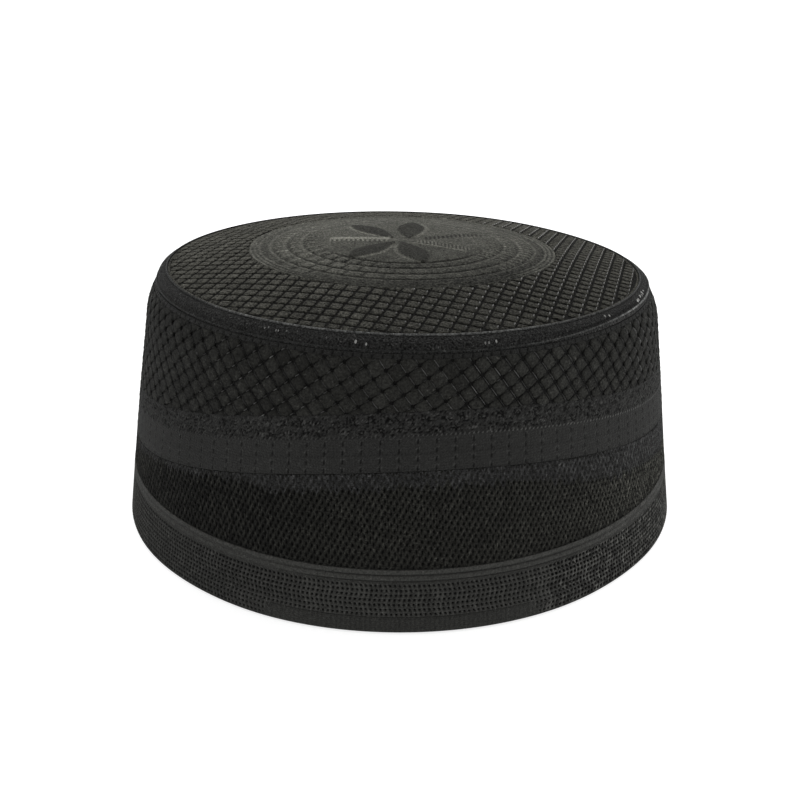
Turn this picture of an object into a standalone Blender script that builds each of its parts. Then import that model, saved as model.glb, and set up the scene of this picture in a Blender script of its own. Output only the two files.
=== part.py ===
"""Knitted prayer cap: a low round cap in black stretch knit, standing on its hem.

Five cloth pieces, each a closed solid: the hem band, the open mesh band above it, the patterned side band,
the piping round the shoulder, and the domed top panel with its raised rosette.
The origin is the centre of the hem's lower edge. +Z is up, -Y is the front and +X is the right of the front view.
Angles round the cap start at the front and grow towards +X.
"""

from collections import namedtuple
from math import atan2, cos, hypot, pi, radians, sin, sqrt

import bmesh
import bpy

MM = 0.001

# Driving dimensions, in millimetres.
HEM_RADIUS = 91.5  # a 575 mm head, measured round the outside of the hem
WALL_TAPER = 0.134  # radius lost for each millimetre of height
SHOULDER_START = 70.0  # height where the straight wall starts to round over
SHOULDER_RADIUS = 22.0
SEAM_HEIGHT = 84.0  # height of the top panel's seam before the cap leans
CROWN_PLATEAU = 23.5  # radius of the top panel's nearly level middle
CROWN_SKIRT = 0.158  # its fall for each millimetre outside the middle
CROWN_SOFTNESS = 6.0  # how gently the middle turns into the skirt
CLOTH_GAP = 0.3  # between neighbouring pieces, where they are sewn together

# The crown leans: its seam is higher at the front and at the left.
SEAM_MEAN = 80.4
SEAM_FRONT_LIFT = 3.4
SEAM_RIGHT_DROP = 1.6
LEAN_START = 40.0  # height under which the wall stands upright
LEAN_RIGHT = 1.5  # how far the seam ring sits towards +X of the hem ring

# Hem band.
HEM_HEIGHT = 19.0
HEM_THICK = 2.4
HEM_EDGE = 0.8  # rounding of the folded lower edge
HEM_GROOVES = (15.6, 17.4)  # heights of the two sewn lines under the upper edge
HEM_GROOVE_DEPTH = 0.35
HEM_GROOVE_WIDTH = 0.5

# Mesh band, which lies deeper than the bands above and below it.
MESH_RECESS = 0.4
MESH_THICK = 1.4

# Side band: its lower edge arches up at the front and the back.
SIDE_THICK = 1.8
ARCH_MEAN = 39.9
ARCH_RISE = 7.7
ARCH_RIGHT = 3.7

# Piping round the shoulder.
PIPING_BASE = 79.9  # height of its lower edge, before the lean
PIPING_BULGE = 0.9
PIPING_THICK = 2.0

# Top panel.
TOP_THICK = 1.6
MEDALLION_RINGS = (29.0, 35.0, 40.0, 48.0)  # radii of the raised rings round the rosette
RING_HEIGHT = 0.35
RING_HALF_WIDTH = 0.8
PETAL_HEIGHT = 0.6
PETAL_HALF_WIDTH = 4.6
PETAL_FULLNESS = 0.85  # below 1 makes the petals' ends rounder
ROSETTE_X = -3.0  # the rosette sits a little left of the rings' centre

# Facets.
SEGMENTS = 84  # round the cap
SHARP_ANGLE = 40  # degrees
ROSETTE_ROWS = (2.5, 5.0, 7.5, 10.0, 12.5, 15.0, 18.0, 21.0, 24.0, 27.0)  # radii
LINING_ROWS = (0.2, 0.5, 0.8, 1.0)  # shares of the top panel's radius

# Petal headings are measured from +X towards +Y, as seen from above.
Petal = namedtuple("Petal", "heading_deg length")
PETALS = (
    Petal(heading_deg=4, length=26),
    Petal(heading_deg=77, length=26),
    Petal(heading_deg=123, length=27),
    Petal(heading_deg=180, length=25),
    Petal(heading_deg=235, length=27),
    Petal(heading_deg=288, length=27),
)

Finish = namedtuple("Finish", "color roughness")
FINISHES = {
    "hem_band": Finish((0.034, 0.034, 0.032), 0.78),
    "mesh_band": Finish((0.014, 0.014, 0.013), 0.85),
    "side_band": Finish((0.027, 0.027, 0.026), 0.72),
    "rim_piping": Finish((0.030, 0.030, 0.029), 0.70),
    "top_panel": Finish((0.036, 0.036, 0.032), 0.72),
}


def clear_scene():
    for obj in list(bpy.data.objects):
        bpy.data.objects.remove(obj)


def seam_height(angle):
    """Height of the top panel's seam at an angle round the cap."""
    return SEAM_MEAN + SEAM_FRONT_LIFT * cos(angle) - SEAM_RIGHT_DROP * sin(angle)


def lean_stretch(angle):
    """How much the lean stretches heights above LEAN_START at this angle."""
    return (seam_height(angle) - LEAN_START) / (SEAM_HEIGHT - LEAN_START)


def upright_height(angle, height):
    """The height this point would have if the crown didn't lean."""
    if height < LEAN_START:
        return height
    return LEAN_START + (height - LEAN_START) / lean_stretch(angle)


def leaned_height(angle, upright):
    if upright < LEAN_START:
        return upright
    return LEAN_START + (upright - LEAN_START) * lean_stretch(angle)


def wall_radius(upright):
    """Outside radius of the wall: a straight taper that ends in a round shoulder."""
    over = max(0.0, upright - SHOULDER_START)
    rounding = SHOULDER_RADIUS - sqrt(SHOULDER_RADIUS**2 - over**2)
    return HEM_RADIUS - WALL_TAPER * upright - rounding


def shoulder_slope(upright):
    """Angle between the wall and the vertical, in radians."""
    over = max(0.0, upright - SHOULDER_START)
    return atan2(over, sqrt(SHOULDER_RADIUS**2 - over**2)) + WALL_TAPER


def arch_height(angle):
    """Height of the side band's lower edge."""
    return ARCH_MEAN + ARCH_RISE * cos(2 * angle) + ARCH_RIGHT * sin(angle)


def on_cap(angle, radius, height):
    """The point at this angle, radius and height, in metres, shifted as the cap leans."""
    shift = LEAN_RIGHT * (max(0.0, height) / SEAM_HEIGHT) ** 2
    return (
        (radius * sin(angle) + shift) * MM,
        -radius * cos(angle) * MM,
        height * MM,
    )


def wall_point(angle, height, inset):
    """A point of the wall, moved in by inset at right angles to its surface."""
    upright = upright_height(angle, height)
    slope = shoulder_slope(upright)
    radius = wall_radius(upright) - inset * cos(slope)
    return on_cap(angle, radius, height - inset * sin(slope))


def crown_fall(radius):
    """How far the top panel has fallen at this radius: hardly in its middle, then evenly."""
    outside = radius - CROWN_PLATEAU
    return CROWN_SKIRT * (outside + hypot(outside, CROWN_SOFTNESS)) / 2


def crown_point(angle, radius, lift):
    """A point of the domed top panel. The dome leans with the seam."""
    seam_radius = wall_radius(SEAM_HEIGHT)
    dome = crown_fall(seam_radius) - crown_fall(radius)
    lean = (seam_height(angle) - SEAM_MEAN) * radius / seam_radius
    return on_cap(angle, radius, SEAM_MEAN + dome + lean + lift)


def between(low, high, count):
    """Evenly spaced values from low to high, both included."""
    return [low + (high - low) * i / (count - 1) for i in range(count)]


def angles():
    return [2 * pi * i / SEGMENTS for i in range(SEGMENTS)]


def cloth_material(name):
    finish = FINISHES[name]
    material = bpy.data.materials.new(name + "_cloth")
    material.use_nodes = True
    shader = material.node_tree.nodes["Principled BSDF"]
    shader.inputs["Base Color"].default_value = (*finish.color, 1.0)
    shader.inputs["Roughness"].default_value = finish.roughness
    shader.inputs["Metallic"].default_value = 0.0
    return material


def add_object(name, data):
    mesh = bpy.data.meshes.new(name)
    bmesh.ops.recalc_face_normals(data, faces=data.faces)
    data.to_mesh(mesh)
    data.free()
    obj = bpy.data.objects.new(name, mesh)
    bpy.context.scene.collection.objects.link(obj)
    mesh.shade_smooth()
    mesh.set_sharp_from_angle(angle=radians(SHARP_ANGLE))
    mesh.materials.append(cloth_material(name))
    return obj


def ring_solid(name, section):
    """A closed ring: section(angle) gives its cross-section's points, in order, at each angle."""
    data = bmesh.new()
    rows = [[data.verts.new(p) for p in section(a)] for a in angles()]
    count = len(rows[0])
    for i, row in enumerate(rows):
        following = rows[(i + 1) % SEGMENTS]
        for k in range(count):
            after = (k + 1) % count
            data.faces.new((row[k], following[k], following[after], row[after]))
    return add_object(name, data)


def dish_solid(name, rows, poles):
    """A closed dish. Its rows run from the outside's centre to the rim and back to the lining's centre."""
    data = bmesh.new()
    rings = [[data.verts.new(row(a)) for a in angles()] for row in rows]
    for ring, following in zip(rings, rings[1:]):
        for i in range(SEGMENTS):
            j = (i + 1) % SEGMENTS
            data.faces.new((ring[i], ring[j], following[j], following[i]))
    for ring, pole in zip((rings[0], rings[-1]), poles):
        centre = data.verts.new(pole)
        for i in range(SEGMENTS):
            data.faces.new((ring[i], ring[(i + 1) % SEGMENTS], centre))
    return add_object(name, data)


def hem_band():
    """The folded band at the bottom. It has a flat foot and two sewn lines under its upper edge."""
    half = HEM_GROOVE_WIDTH / 2
    middle = HEM_HEIGHT / 2

    def section(angle):
        outside = [wall_point(angle, HEM_EDGE, 0), wall_point(angle, middle, 0)]
        for groove in HEM_GROOVES:
            outside.append(wall_point(angle, groove - half, 0))
            outside.append(wall_point(angle, groove, HEM_GROOVE_DEPTH))
            outside.append(wall_point(angle, groove + half, 0))
        top = [wall_point(angle, HEM_HEIGHT, HEM_EDGE / 2), wall_point(angle, HEM_HEIGHT, HEM_THICK)]
        inside = [wall_point(angle, middle, HEM_THICK), wall_point(angle, HEM_EDGE, HEM_THICK)]
        foot = [
            on_cap(angle, HEM_RADIUS - HEM_THICK + HEM_EDGE / 2, 0),
            on_cap(angle, HEM_RADIUS - HEM_EDGE / 2, 0),
        ]
        return outside + top + inside + foot

    return ring_solid("hem_band", section)


def mesh_band():
    """The open net between the hem and the side band's arched lower edge."""

    def section(angle):
        low = HEM_HEIGHT + CLOTH_GAP
        high = arch_height(angle) - CLOTH_GAP
        outside = [wall_point(angle, z, MESH_RECESS) for z in between(low, high, 4)]
        inside = [wall_point(angle, z, MESH_RECESS + MESH_THICK) for z in between(high, low, 3)]
        return outside + inside

    return ring_solid("mesh_band", section)


def side_band():
    """The patterned knit from its arched lower edge up to the piping."""

    def section(angle):
        low = arch_height(angle)
        turn = leaned_height(angle, SHOULDER_START)
        high = leaned_height(angle, PIPING_BASE) - CLOTH_GAP
        outside = [wall_point(angle, z, 0) for z in between(low, turn, 4)]
        outside += [wall_point(angle, z, 0) for z in between(turn, high, 5)[1:]]
        inside = [wall_point(angle, z, SIDE_THICK) for z in between(high, turn, 3)]
        inside += [wall_point(angle, z, SIDE_THICK) for z in between(turn, low, 3)[1:]]
        return outside + inside

    return ring_solid("side_band", section)


def rim_piping():
    """The padded roll that covers the seam between the side band and the top panel."""
    seam_radius = wall_radius(SEAM_HEIGHT)

    def section(angle):
        low = leaned_height(angle, PIPING_BASE)
        high = leaned_height(angle, SEAM_HEIGHT)
        roll = []
        for share in between(0, 1, 6):
            bulge = PIPING_BULGE * sin(pi * share)
            roll.append(wall_point(angle, low + (high - low) * share, -bulge))
        under_seam = on_cap(angle, seam_radius, high - TOP_THICK)
        middle = wall_point(angle, (low + high) / 2, PIPING_THICK)
        foot = wall_point(angle, low, PIPING_THICK)
        return [*roll, under_seam, middle, foot]

    return ring_solid("rim_piping", section)


def petal_relief(angle, radius):
    """Height of the rosette's petals over the cloth, highest along each petal's middle."""
    x, y = radius * sin(angle) - ROSETTE_X, -radius * cos(angle)
    distance, heading = hypot(x, y), atan2(y, x)
    fullest = 0.0
    for petal in PETALS:
        turn = heading - radians(petal.heading_deg)
        along = distance * cos(turn) / petal.length
        if 0 < along < 1:
            half_width = PETAL_HALF_WIDTH * sin(pi * along) ** PETAL_FULLNESS
            across = distance * sin(turn) / half_width
            fullest = max(fullest, 1 - across**2)
    return PETAL_HEIGHT * sqrt(fullest)


def top_panel():
    """The domed top: a plain field, raised rings round the medallion and six raised petals."""
    edge = wall_radius(SEAM_HEIGHT) - CLOTH_GAP

    def plain_row(radius, lift=0.0):
        return lambda angle: crown_point(angle, radius, lift)

    def rosette_row(radius):
        return lambda angle: crown_point(angle, radius, petal_relief(angle, radius))

    rows = [rosette_row(radius) for radius in ROSETTE_ROWS]
    for radius in MEDALLION_RINGS:
        rows.append(plain_row(radius - RING_HALF_WIDTH))
        rows.append(plain_row(radius, RING_HEIGHT))
        rows.append(plain_row(radius + RING_HALF_WIDTH))
    rows.append(plain_row((edge + MEDALLION_RINGS[-1]) / 2))
    rows.append(plain_row(edge))
    rows += [plain_row(edge * share, -TOP_THICK) for share in reversed(LINING_ROWS)]
    poles = (crown_point(0, 0, 0), crown_point(0, 0, -TOP_THICK))
    return dish_solid("top_panel", rows, poles)


def build():
    clear_scene()
    hem_band()
    mesh_band()
    side_band()
    rim_piping()
    top_panel()


build()
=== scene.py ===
import math

import bpy
import numpy as np
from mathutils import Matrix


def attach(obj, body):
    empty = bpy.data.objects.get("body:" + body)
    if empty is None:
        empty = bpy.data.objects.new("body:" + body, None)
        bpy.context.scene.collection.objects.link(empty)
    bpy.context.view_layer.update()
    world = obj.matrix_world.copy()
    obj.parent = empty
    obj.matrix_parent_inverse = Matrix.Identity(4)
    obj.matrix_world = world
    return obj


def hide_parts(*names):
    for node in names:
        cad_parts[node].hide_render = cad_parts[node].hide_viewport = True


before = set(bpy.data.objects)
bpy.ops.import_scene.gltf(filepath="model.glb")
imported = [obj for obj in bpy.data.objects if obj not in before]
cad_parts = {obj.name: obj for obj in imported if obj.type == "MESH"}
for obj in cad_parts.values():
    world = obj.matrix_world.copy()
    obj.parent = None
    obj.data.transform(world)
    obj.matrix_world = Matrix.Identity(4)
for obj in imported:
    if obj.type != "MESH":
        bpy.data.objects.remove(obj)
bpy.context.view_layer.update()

# Knitted prayer cap, dressed round its plain cloth solids.
# Sizes here are millimetres; addPiece turns them into metres.
# Angles round the cap start at the front and grow towards its right (+X).

cap = {
    "hemRadius": 91.5, "wallTaper": 0.134,
    "shoulderStart": 70.0, "shoulderRadius": 22.0,
    "seamUpright": 84.0, "seamMean": 80.4, "seamFrontLift": 3.4, "seamRightDrop": 1.6,
    "leanStart": 40.0, "leanRight": 1.5,
    "crownPlateau": 23.5, "crownSkirt": 0.158, "crownSoftness": 6.0,
    "archMean": 39.9, "archRise": 7.7, "archRight": 3.7,
    "hemHeight": 19.0, "pipingBase": 79.9,
    "clothRadius": 88.8,    # where lengths round the wall are measured
    "wallEnd": 88.0,    # no cloth of the wall reaches higher
    # how far the soft cloth sinks, draws in or swells
    "backSag": 0.8, "footPinch": 0.6, "sideSwell": 0.35, "rimSwell": 0.6,
    "backFade": (1.9, 2.9),    # headings between which the marks of both sides fade out
}
turn = 2 * math.pi
shuffle = np.random.default_rng(11)    # small unevenness of hand work, the same every run


# The cap's surfaces

def ease(low, high, value):
    share = np.clip((value - low) / (high - low), 0.0, 1.0)
    return share * share * (3 - 2 * share)


def hump(start, full, fading, gone, value):    # rises, stays and falls again
    return ease(start, full, value) * (1 - ease(fading, gone, value))


def bump(distance, width):
    return np.exp(-(distance / width) ** 2)


def seamHeight(angle):
    sag = cap["backSag"] * bump(angle - 2.1, 0.55)
    return cap["seamMean"] + cap["seamFrontLift"] * np.cos(angle) - cap["seamRightDrop"] * np.sin(angle) - sag


def archHeight(angle):
    return cap["archMean"] + cap["archRise"] * np.cos(2 * angle) + cap["archRight"] * np.sin(angle)


def leanStretch(angle):
    return (seamHeight(angle) - cap["leanStart"]) / (cap["seamUpright"] - cap["leanStart"])


def uprightOf(angle, height):
    above = cap["leanStart"] + (height - cap["leanStart"]) / leanStretch(angle)
    return np.where(height < cap["leanStart"], height, above)


def leanedOf(angle, upright):
    above = cap["leanStart"] + (upright - cap["leanStart"]) * leanStretch(angle)
    return np.where(upright < cap["leanStart"], upright, above)


def wallRadius(upright):
    over = np.maximum(0.0, upright - cap["shoulderStart"])
    rounding = cap["shoulderRadius"] - np.sqrt(cap["shoulderRadius"] ** 2 - over ** 2)
    return cap["hemRadius"] - cap["wallTaper"] * upright - rounding


def swingOf(angle):    # the same heading between minus and plus half a turn
    return np.arctan2(np.sin(angle), np.cos(angle))


def onCap(angle, radius, height):
    swing = swingOf(angle)
    shift = cap["leanRight"] * (np.maximum(0.0, height) / cap["seamUpright"]) ** 2
    quarters = bump(swing - 0.82, 0.25) + 0.75 * bump(swing + 0.75, 0.25)    # at both sides of the front
    pinch = cap["footPinch"] * quarters * (1 - ease(0.0, 30.0, height))
    swell = (cap["sideSwell"] + cap["rimSwell"] * ease(60.0, 82.0, height)) * bump(swing + 1.7, 0.6)
    radius = radius - pinch + swell * (radius / cap["hemRadius"]) ** 2
    return np.stack([radius * np.sin(angle) + shift, -radius * np.cos(angle), height + 0 * angle], -1)


def onRight(angle, low, high):    # nothing in front, full on the cap's right, nothing again at the back
    return hump(low, high, *cap["backFade"], swingOf(angle))


def onLeft(angle, low, high):
    return onRight(-angle, low, high)


def flecked(tone, amount):    # uneven stitches: each point of the cloth a little darker or lighter
    return tone * (1 + amount * shuffle.uniform(-1, 1.4, np.shape(amount)))


def wallPoint(angle, height, lift):
    upright = np.minimum(uprightOf(angle, height), cap["wallEnd"])
    over = np.maximum(0.0, upright - cap["shoulderStart"])
    slope = np.arctan2(over, np.sqrt(cap["shoulderRadius"] ** 2 - over ** 2)) + cap["wallTaper"]
    return onCap(angle, wallRadius(upright) + lift * np.cos(slope), height + lift * np.sin(slope))


def crownFall(radius):
    outside = radius - cap["crownPlateau"]
    return cap["crownSkirt"] * (outside + np.hypot(outside, cap["crownSoftness"])) / 2


seamRadius = float(wallRadius(cap["seamUpright"]))


def crownPoint(x, y, lift):
    radius, angle = np.hypot(x, y), np.arctan2(x, -y)
    dome = crownFall(seamRadius) - crownFall(radius)
    lean = (seamHeight(angle) - cap["seamMean"]) * radius / seamRadius
    return onCap(angle, radius, cap["seamMean"] + dome + lean + lift)


# Shader maths and the knit's material

class Wire:    # a socket that can stand in a sum
    def __init__(self, tree, socket=None):
        self.tree, self.socket = tree, socket

    def node(self, kind, settings=None, values=None, out=0):
        made = self.tree.nodes.new(kind)
        for key, value in (settings or {}).items():
            setattr(made, key, value)
        for key, value in (values or {}).items():
            if isinstance(value, Wire):
                self.tree.links.new(value.socket, made.inputs[key])
            else:
                made.inputs[key].default_value = value
        return Wire(self.tree, made.outputs[out])

    def maths(self, operation, *values):
        return self.node("ShaderNodeMath", {"operation": operation}, dict(enumerate(values)))

    def __add__(self, other):
        return self.maths("ADD", self, other)

    def __radd__(self, other):
        return self.maths("ADD", other, self)

    def __sub__(self, other):
        return self.maths("SUBTRACT", self, other)

    def __rsub__(self, other):
        return self.maths("SUBTRACT", other, self)

    def __mul__(self, other):
        return self.maths("MULTIPLY", self, other)

    def __rmul__(self, other):
        return self.maths("MULTIPLY", other, self)

    def __truediv__(self, other):
        return self.maths("DIVIDE", self, other)

    def __abs__(self):
        return self.maths("ABSOLUTE", self)

    def part(self):    # what stands behind the decimal point
        return self.maths("FRACT", self)

    def atLeast(self, other):
        return self.maths("MAXIMUM", self, other)

    def tinted(self, colour):    # a colour made darker or lighter by this value
        return self.node("ShaderNodeVectorMath", {"operation": "SCALE"}, {0: colour, "Scale": self})

    def noise(self, place, scale, detail, rough):
        sockets = {"Vector": place, "Scale": scale, "Detail": detail, "Roughness": rough}
        return self.node("ShaderNodeTexNoise", {}, sockets)


def knitMaterial(name, look):
    material = bpy.data.materials.new(name)
    material.use_nodes = True
    tree = material.node_tree
    shader = tree.nodes["Principled BSDF"]
    wire = Wire(tree)
    cloth = wire.node("ShaderNodeAttribute", {"attribute_name": "cloth"}, out=1)
    split = wire.node("ShaderNodeSeparateXYZ", {}, {0: cloth})
    along, up, tone = (Wire(tree, socket) for socket in split.socket.node.outputs)
    place = wire.node("ShaderNodeTexCoord", out=3)
    fuzz = wire.noise(place, look["fuzzScale"], 3.0, 0.7)
    grain = wire.noise(place, look["grainScale"], 2.0, 0.6) - 0.5
    specks = wire.noise(place, look["fleckScale"], 1.0, 0.5) - look["fleckStart"]
    patches = wire.noise(place, look["patchScale"], 2.0, 0.5) - 0.5
    wobble = (wire.noise(place, look["wobbleScale"], 1.0, 0.5) - 0.5) * look["wobble"]
    column = along / look["stitchWide"] + wobble
    course = up / look["stitchTall"] + wobble
    across = abs(column.part() * 2 - 1)           # 0 mid-stitch, 1 between stitches
    leg = 1 - abs(across * 2 - 1)                 # the two legs of each stitch
    rise = (course + across * 0.55).part() * 2 - 1
    loop = (1 - rise * rise) * leg
    relief = loop * (1 - look["fuzz"]) + fuzz * (look["fuzz"] * 1.6)
    shade = (1 - look["contrast"]) + relief * (look["contrast"] * 2.0)
    shade = shade * (1 + grain * look["grain"]).atLeast(0.05)
    shade = shade * (1 + patches * look["patchy"])
    shade = tone * (shade + specks.atLeast(0.0) * look["fleck"])
    red, green, blue = look["colour"]
    # painted light: the wall is tinted warmer away from the front, where it is lit from the sides, fully so
    # from about 65 degrees on
    sideways = 1.7 - 1.7 * (along / cap["clothRadius"]).maths("COSINE")
    colours = {0: sideways, 6: (red, green, blue, 1.0), 7: (red, green, blue * look["sideBlue"], 1.0)}
    ground = wire.node("ShaderNodeMix", {"data_type": "RGBA"}, colours, out=2)
    height = relief + grain * look["grain"]
    sockets = {"Height": height, "Strength": look["bump"], "Distance": look["bumpDepth"]}
    bumps = wire.node("ShaderNodeBump", {}, sockets)
    tree.links.new(shade.tinted(ground).socket, shader.inputs["Base Color"])
    tree.links.new(bumps.socket, shader.inputs["Normal"])
    shader.inputs["Roughness"].default_value = look["roughness"]
    shader.inputs["Sheen Weight"].default_value = look["sheen"]
    shader.inputs["Sheen Roughness"].default_value = look["sheenRoughness"]
    shader.inputs["Sheen Tint"].default_value = (*look["sheenTint"], 1.0)
    shader.inputs["Specular IOR Level"].default_value = look["specular"]
    return material


plainKnit = {
    "colour": (0.0170, 0.0170, 0.0167), "sideBlue": 1.0, "roughness": 0.8, "specular": 0.05,
    "sheen": 0.02, "sheenRoughness": 0.45, "sheenTint": (0.9, 0.9, 0.88),
    "stitchWide": 0.95, "stitchTall": 0.8, "bump": 0.8, "bumpDepth": 0.0005, "contrast": 0.35,
    "wobble": 0.35, "wobbleScale": 900.0,    # how far the stitches wander, in stitches
    "fuzz": 0.45, "fuzzScale": 2600.0, "grain": 2.4, "grainScale": 1500.0,
    "fleck": 9.0, "fleckScale": 1200.0, "fleckStart": 0.64, "patchy": 0.3, "patchScale": 160.0,
}


def look(**changes):
    return {**plainKnit, **changes}


# Building the meshes

def addPiece(name, node, material, parts):
    points = np.concatenate([part[0] for part in parts])
    cloth = np.concatenate([part[2] for part in parts])
    corners, sizes, start = [], [], 0
    for partPoints, faces, _ in parts:
        corners.append((faces + start).ravel())
        sizes.append(np.full(len(faces), faces.shape[1]))
        start += len(partPoints)
    corners, sizes = np.concatenate(corners), np.concatenate(sizes)
    starts = np.concatenate([[0], np.cumsum(sizes)[:-1]])
    mesh = bpy.data.meshes.new(name)
    mesh.vertices.add(len(points))
    mesh.vertices.foreach_set("co", (points * 0.001).ravel())
    mesh.loops.add(len(corners))
    mesh.loops.foreach_set("vertex_index", corners.astype(np.int32))
    mesh.polygons.add(len(sizes))
    mesh.polygons.foreach_set("loop_start", starts.astype(np.int32))
    mesh.polygons.foreach_set("use_smooth", np.ones(len(sizes), bool))
    mesh.attributes.new("cloth", "FLOAT_VECTOR", "POINT").data.foreach_set("vector", cloth.ravel())
    mesh.update(calc_edges=True)
    mesh.validate()
    mesh.materials.append(material)
    piece = bpy.data.objects.new(name, mesh)
    bpy.context.scene.collection.objects.link(piece)
    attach(piece, "root")
    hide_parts(node)
    print(f"  {name}: {int((sizes - 2).sum())} triangles")
    return piece


def gridFaces(rows, columns, wrapColumns=False, wrapRows=False):
    row = np.arange(rows if wrapRows else rows - 1)[:, None]
    column = np.arange(columns if wrapColumns else columns - 1)[None]
    nextRow, nextColumn = (row + 1) % rows, (column + 1) % columns
    corners = (row * columns + column, row * columns + nextColumn,
               nextRow * columns + nextColumn, nextRow * columns + column)
    return np.stack(np.broadcast_arrays(*corners), -1).reshape(-1, 4)


def weld(points, faces, cloth):    # joins points that lie on each other, drops faces that collapse
    _, first, back = np.unique(np.round(points, 3), axis=0, return_index=True, return_inverse=True)
    faces = back.reshape(-1)[faces]
    whole = np.ones(len(faces), bool)
    for k in range(faces.shape[1]):
        whole &= faces[:, k] != faces[:, (k + 1) % faces.shape[1]]
    return points[first], faces[whole], cloth[first]


def anglesOf(count):
    return np.arange(count) * turn / count


wholeTurn = {"from": -math.pi, "to": math.pi}


def inZone(zone, heading):
    return (heading > zone["from"]) & (heading <= zone["to"])


def onCloth(angle, height, tone):    # what knitMaterial reads at a point of the wall
    return np.stack([angle * cap["clothRadius"], height, tone], -1)


def wallPart(angle, height, lift, tone, faces):
    return weld(wallPoint(angle, height, lift), faces, onCloth(angle, height, tone))


def wallRing(count, rows):
    # rows go up the outside and down the inside
    # each is (height, lift, tone), numbers or arrays over the angles
    angle = anglesOf(count)
    points, cloth = [], []
    for row in rows:
        height, lift, tone = (np.broadcast_to(value, angle.shape) for value in row)
        points.append(wallPoint(angle, height, lift))
        cloth.append(onCloth(angle, height, tone))
    return np.concatenate(points), gridFaces(len(rows), count, True, True), np.concatenate(cloth)


def crossings(first, second):    # every line of one family with every line of the other
    one, two = np.meshgrid(first, second)
    return np.stack([one.ravel(), two.ravel()], -1).astype(float)


class Weave:    # two families of lines over a surface; their crossings place the cells
    def __init__(self, first, second):
        self.first, self.second = first, second

    def locate(self, one, two, guess, rounds=14):    # walks from the guess to where the two lines cross
        place = np.array(guess, float)
        step = 1e-3
        for _ in range(rounds):
            missing = np.stack([one - self.first(*place), two - self.second(*place)])
            slopes = []
            for k in range(2):
                moved = place.copy()
                moved[k] += step
                slopes.append([(lines(*moved) - lines(*place)) / step for lines in (self.first, self.second)])
            (a, c), (b, d) = slopes
            det = a * d - b * c
            place[0] += (missing[0] * d - missing[1] * b) / det
            place[1] += (missing[1] * a - missing[0] * c) / det
        return place


def stamped(centres, template, weave, guess, shades):
    # lays a copy of a template, given in cell units, at every centre
    over, along, height, tone, faces = template
    copies, size = len(centres), len(over)
    one = (centres[:, 0, None] + over[None]).ravel()
    two = (centres[:, 1, None] + along[None]).ravel()
    place = weave.locate(one, two, np.repeat(guess, size, axis=1))
    faces = (faces[None] + (np.arange(copies) * size)[:, None, None]).reshape(-1, faces.shape[1])
    tones = (np.broadcast_to(shades, copies)[:, None] * tone[None]).ravel()
    return place, np.tile(height, copies), tones, faces


def pillow(half, pull, edgeTone, rim, shoulder):
    line = np.array([-1.0, -shoulder, -0.42, 0.0, 0.42, shoulder, 1.0])
    full = np.array([rim, 0.9, 1.0, 1.0, 1.0, 0.9, rim])
    p, q = np.meshgrid(line, line)
    height = np.outer(full, full)
    tone = edgeTone + (1 - edgeTone) * height
    squeeze = 1 - pull * (p * q) ** 6    # only the corners draw in
    over, along = p * squeeze * half[0], q * squeeze * half[1]
    return over.ravel(), along.ravel(), height.ravel(), tone.ravel(), gridFaces(len(line), len(line))


def bead(offset, half):
    line = np.linspace(-1, 1, 5)
    p, q = np.meshgrid(line, line)
    taper = np.sqrt(np.maximum(0, 1 - q ** 4))
    over, along = offset[0] + p * (taper * 0.85 + 0.15) * half[0], offset[1] + q * half[1]
    height = np.sqrt(np.maximum(0, 1 - p ** 2)) * (taper * 0.9 + 0.1)
    return over.ravel(), along.ravel(), height.ravel(), np.ones(p.size), gridFaces(len(line), len(line))


holedPoints = 24    # how many points one holed cell has


def holedCell(hole, rim):
    # a cell of net: its raised border, the rim of its hole and the hole's wall going in
    ring = np.array([(-1, -1), (0, -1), (1, -1), (1, 0), (1, 1), (0, 1), (-1, 1), (-1, 0)], float)
    inner = ring / np.maximum(1, np.hypot(ring[:, 0], ring[:, 1]))[:, None]
    over, along = np.concatenate([ring * 0.5, inner * hole, inner * hole * 0.85]).T
    height = np.concatenate([np.tile(rim["border"], 2), np.full(8, rim["lip"]), np.full(8, -1.0)])
    # the hole's wall is painted near black: painted shade inside the hole
    tone = np.concatenate([np.tile(rim["borderTone"], 2), np.full(8, rim["lipTone"]), np.full(8, 0.08)])
    return over, along, height, tone, gridFaces(3, 8, True)


# Hem band
hem = {
    "columns": 408, "rows": 7, "low": 4.9, "high": 14.9,
    "footRows": 3, "footOpen": 0.42,    # the eyelets run down over the foot at the sides and back
    # the sunk eyelets of the foot are painted dark: painted shade in the pits
    "backing": -0.9, "inside": -2.4, "pitShadeTone": 0.1, "grooves": (15.6, 17.4), "grooveDepth": 0.28,
    "look": look(colour=(0.0235, 0.0235, 0.0228), sideBlue=0.78, stitchWide=0.72, stitchTall=0.62,
                 contrast=0.25, grain=2.0, grainScale=2300.0, sheen=0.05, patchy=0.15, fleck=5.0),
}
# eyelets: headings, half size of the hole, tone of its lip
eyeletZones = (
    {"from": -4.0, "to": -0.35, "hole": (0.27, 0.26), "lipTone": 0.62},
    {"from": -0.35, "to": 0.5, "hole": (0.27, 0.27), "lipTone": 0.78},
    {"from": 0.5, "to": 4.0, "hole": (0.32, 0.30), "lipTone": 0.45},
)


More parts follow.
